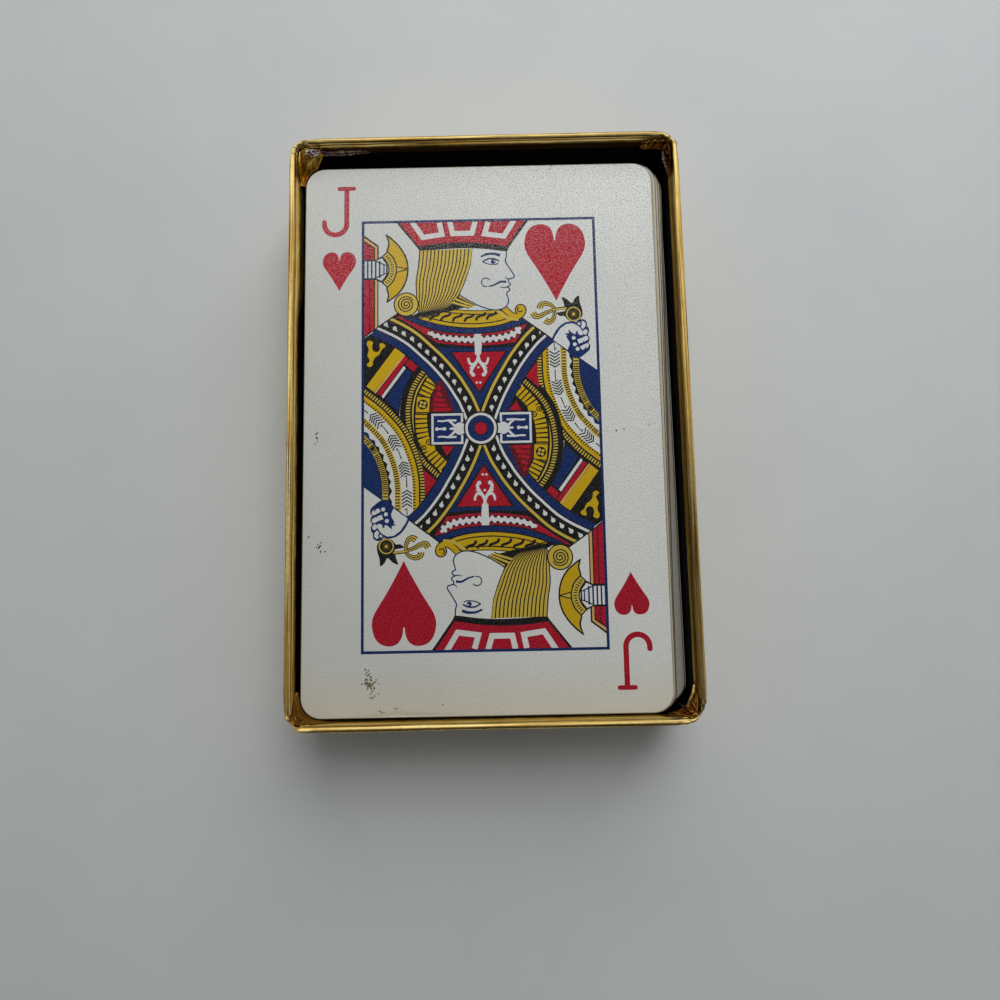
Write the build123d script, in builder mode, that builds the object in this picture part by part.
from build123d import *
import os
from math import cos, degrees, sin, sqrt

# The open tray of a playing-card box, with its pack of bridge cards lying loose in it.
# The tray is a set-up box: a board floor and four board walls, held at the corners by
# paper stays, wrapped in gold foil paper and lined with black paper.
# Millimetres, +Z up, origin at the bottom centre of the tray, +Y towards its rear wall.

# ---------------------------------------------------------------- driving dimensions
# One playing card, bridge size
card_width = 57.15
card_length = 88.9
card_corner_radius = 3.2
card_thickness = 0.3

# The pack: the top card, a slanting fan of small groups under it, then the straight stock
card_count = 52
fan_groups = 4
fan_group_size = 3
grouped_bottom_cards = 7

# Where the cards lie in the room that the tray leaves round them. A lean is a share of
# the way from the middle to a wall, and a twist a share of the turn that jams a card.
lean_gap = 0.27
top_lean_across = -0.63
top_twist = -0.06
fan_lean_across = 0.53
fan_twist = -0.44
stock_lean_along = -0.14
stock_twist = 0.05
stock_unevenness = 0.15
stock_wobble = 2.1

# The tray
side_play = 3.7
end_play = 3.0
recess_depth = 3.0
board_thickness = 1.0
foil_thickness = 0.1
lining_thickness = 0.1
crushed_corner_board = 0.45
rim_rounding = 0.4
turn_in_depth = 2.4

# Paper stays round the outside of the wall boards' corners, under the foil
stay_thickness = 0.1
stay_reach = 8.0
stay_setback = 1.5

# Folded foil tucks inside the corners, tapering downwards
tuck_thickness = 0.1
tuck_depth = 5.0
tuck_reach = 7.0
tuck_tip = 1.5

# ---------------------------------------------------------------- derived sizes
# Insets from the outer face of the tray to each layer of its wall
board_outside = foil_thickness
stay_inside = board_outside + stay_thickness
board_inside = board_outside + board_thickness
turn_in_inside = board_inside + foil_thickness
lining_inside = board_inside + lining_thickness
wall_inside = max(turn_in_inside, lining_inside)
tuck_inside = wall_inside + tuck_thickness

# The boards meet in square inner corners, and their outer corners are crushed round, so
# that crushed_corner_board is left across the corner
board_corner_radius = (sqrt(2) * board_thickness - crushed_corner_board) / (sqrt(2) - 1)
outer_corner_radius = board_corner_radius + foil_thickness
rim_radius = min(rim_rounding, crushed_corner_board)

inner_width = card_width + side_play
inner_length = card_length + end_play
outer_width = inner_width + 2 * wall_inside
outer_length = inner_length + 2 * wall_inside

# Levels above the table
board_bottom = foil_thickness
floor_board_top = board_bottom + board_thickness
floor_top = floor_board_top + lining_thickness
pack_top = floor_top + card_count * card_thickness
rim_top = pack_top + recess_depth
turn_in_bottom = rim_top - turn_in_depth
tuck_bottom = rim_top - tuck_depth
tuck_top = rim_top - rim_radius
stay_top = rim_top - stay_setback

# Cards counted from the top of the pack
fan_count = fan_groups * fan_group_size
first_stock_card = 1 + fan_count
first_grouped_card = card_count - grouped_bottom_cards

# The turn, in radians, at which a card in the middle of the tray touches its walls
full_twist = min(side_play / card_length, end_play / card_width)

os.makedirs("parts", exist_ok=True)


def write_part(piece, label):
    """Label a finished piece and write it as a STEP file."""
    piece.label = label
    export_step(piece, f"parts/{label}.step")


# ---------------------------------------------------------------- outlines of the tray
def round_outline(inset, mode=Mode.ADD):
    """Draw the tray's outline with round corners, moved inwards by inset."""
    width = outer_width - 2 * inset
    length = outer_length - 2 * inset
    RectangleRounded(width, length, outer_corner_radius - inset, mode=mode)


def square_outline(inset, mode=Mode.ADD):
    """Draw the tray's outline with square corners, as it is inside the boards."""
    Rectangle(outer_width - 2 * inset, outer_length - 2 * inset, mode=mode)


# ---------------------------------------------------------------- board floor and walls
with BuildPart() as bottom_board:
    with BuildSketch(Plane.XY.offset(board_bottom)):
        square_outline(board_inside)
    extrude(amount=board_thickness)
write_part(bottom_board.part, "bottom_board")


def outer_rim_edges(solid):
    """Pick the edges round the outside of a solid's top face."""
    return solid.faces().sort_by(Axis.Z)[-1].outer_wire().edges()


# All four walls in one ring, with the rim rounded over, cut into single boards below
with BuildPart() as board_ring:
    with BuildSketch(Plane.XY.offset(board_bottom)):
        round_outline(board_outside)
        square_outline(board_inside, Mode.SUBTRACT)
    extrude(amount=rim_top - foil_thickness - board_bottom)
    fillet(outer_rim_edges(board_ring), radius=rim_radius - foil_thickness)

# Four angled strips of paper tape, pressed flush into the boards at the corners
with BuildPart() as corner_stays:
    with BuildSketch(Plane.XY.offset(board_bottom)):
        round_outline(board_outside)
        round_outline(stay_inside, Mode.SUBTRACT)
        Rectangle(outer_width - 2 * stay_reach, outer_length, mode=Mode.SUBTRACT)
        Rectangle(outer_width, outer_length - 2 * stay_reach, mode=Mode.SUBTRACT)
    extrude(amount=stay_top - board_bottom)
write_part(corner_stays.part, "corner_stays")


def build_wall_board(label, half_span, wall_distance, facing):
    """Cut one wall, mitred at its ends, out of the ring of walls.

    facing is the angle by which the front wall is turned to become this one.
    """
    mitre = outer_corner_radius + board_thickness
    with BuildPart() as wall_board:
        add(board_ring.part)
        with BuildSketch(Plane(Location((0, 0, 0), (0, 0, facing)))):
            with BuildLine():
                Polyline(
                    (-half_span, -wall_distance),
                    (half_span, -wall_distance),
                    (half_span - mitre, mitre - wall_distance),
                    (mitre - half_span, mitre - wall_distance),
                    close=True,
                )
            make_face()
        extrude(amount=rim_top, mode=Mode.INTERSECT)
        add(corner_stays.part, mode=Mode.SUBTRACT)
    write_part(wall_board.part, label)


build_wall_board("front_wall_board", outer_width / 2, outer_length / 2, 0)
build_wall_board("right_wall_board", outer_length / 2, outer_width / 2, 90)
build_wall_board("rear_wall_board", outer_width / 2, outer_length / 2, 180)
build_wall_board("left_wall_board", outer_length / 2, outer_width / 2, 270)

# ---------------------------------------------------------------- gold foil paper
with BuildPart() as foil_base_panel:
    with BuildSketch(Plane.XY):
        round_outline(foil_thickness)
    extrude(amount=foil_thickness)
write_part(foil_base_panel.part, "foil_base_panel")

# Up the outside, over the rounded rim and a little way down the inside of the boards
with BuildPart() as foil_wall_wrap:
    with BuildSketch(Plane.XY):
        round_outline(0)
        square_outline(turn_in_inside, Mode.SUBTRACT)
    extrude(amount=rim_top)
    fillet(outer_rim_edges(foil_wall_wrap), radius=rim_radius)
    add(board_ring.part, mode=Mode.SUBTRACT)
    with BuildSketch(Plane.XY):
        square_outline(board_inside)
    extrude(amount=turn_in_bottom, mode=Mode.SUBTRACT)
    with BuildSketch(Plane.XY):
        round_outline(foil_thickness)
    extrude(amount=foil_thickness, mode=Mode.SUBTRACT)
write_part(foil_wall_wrap.part, "foil_wall_wrap")


def build_corner_tuck(label, side, end):
    """Make the folded foil tuck in one inner corner; side and end are -1 or 1."""
    corner_x = side * (outer_width / 2 - wall_inside)
    corner_y = end * (outer_length / 2 - wall_inside)
    with BuildPart() as corner_tuck:
        with BuildSketch(Plane.XY.offset(tuck_bottom)):
            square_outline(wall_inside)
            square_outline(tuck_inside, Mode.SUBTRACT)
        extrude(amount=tuck_top - tuck_bottom)
        with Locations((corner_x, corner_y, (tuck_bottom + tuck_top) / 2)):
            Cone(tuck_tip, tuck_reach, tuck_top - tuck_bottom, mode=Mode.INTERSECT)
    write_part(corner_tuck.part, label)


build_corner_tuck("front_left_corner_tuck", -1, -1)
build_corner_tuck("front_right_corner_tuck", 1, -1)
build_corner_tuck("rear_left_corner_tuck", -1, 1)
build_corner_tuck("rear_right_corner_tuck", 1, 1)

# ---------------------------------------------------------------- black paper lining
with BuildPart() as floor_lining:
    with BuildSketch(Plane.XY.offset(floor_board_top)):
        square_outline(lining_inside)
    extrude(amount=lining_thickness)
write_part(floor_lining.part, "floor_lining")

with BuildPart() as wall_lining:
    with BuildSketch(Plane.XY.offset(floor_board_top)):
        square_outline(board_inside)
        square_outline(lining_inside, Mode.SUBTRACT)
    extrude(amount=turn_in_bottom - floor_board_top)
write_part(wall_lining.part, "wall_lining")


# ---------------------------------------------------------------- the pack of cards
def room_across(twist):
    """How far a card twisted by this share can move from the middle to a side wall."""
    turn = abs(twist) * full_twist
    reach = card_width / 2 * cos(turn) + card_length / 2 * sin(turn)
    return inner_width / 2 - reach


def room_along(twist):
    """How far a card twisted by this share can move from the middle to an end wall."""
    turn = abs(twist) * full_twist
    reach = card_length / 2 * cos(turn) + card_width / 2 * sin(turn)
    return inner_length / 2 - reach


def fan_place(index):
    """Centre and twist of the top card or a fanned card: it slides over in small groups."""
    group = (index + fan_group_size - 1) // fan_group_size
    share = group / fan_groups
    twist = top_twist + share * (fan_twist - top_twist)
    lean = top_lean_across + share * (fan_lean_across - top_lean_across)
    return lean * room_across(twist), lean_gap - room_along(twist), twist


def stock_place(index):
    """Centre and twist of a stock card: all lean on the right wall, a little unevenly."""
    set_back = stock_unevenness * (1 + sin(stock_wobble * index)) / 2
    across = room_across(stock_twist) - lean_gap - set_back
    along = stock_lean_along * room_along(stock_twist) - set_back
    return across, along, stock_twist


def build_card(index):
    """Make the card that lies index places below the top of the pack."""
    place = fan_place if index < first_stock_card else stock_place
    across, along, twist = place(index)
    underside = pack_top - (index + 1) * card_thickness
    turn = degrees(twist * full_twist)
    with BuildPart() as card:
        with BuildSketch(Plane(Location((across, along, underside), (0, 0, turn)))):
            RectangleRounded(card_width, card_length, card_corner_radius)
        extrude(amount=card_thickness)
    return card.part


write_part(build_card(0), "top_card")
for index in range(1, first_grouped_card):
    write_part(build_card(index), f"card_{index + 1:02d}")

lowest_cards = [build_card(index) for index in range(first_grouped_card, card_count)]
write_part(Compound(children=lowest_cards), "bottom_cards")
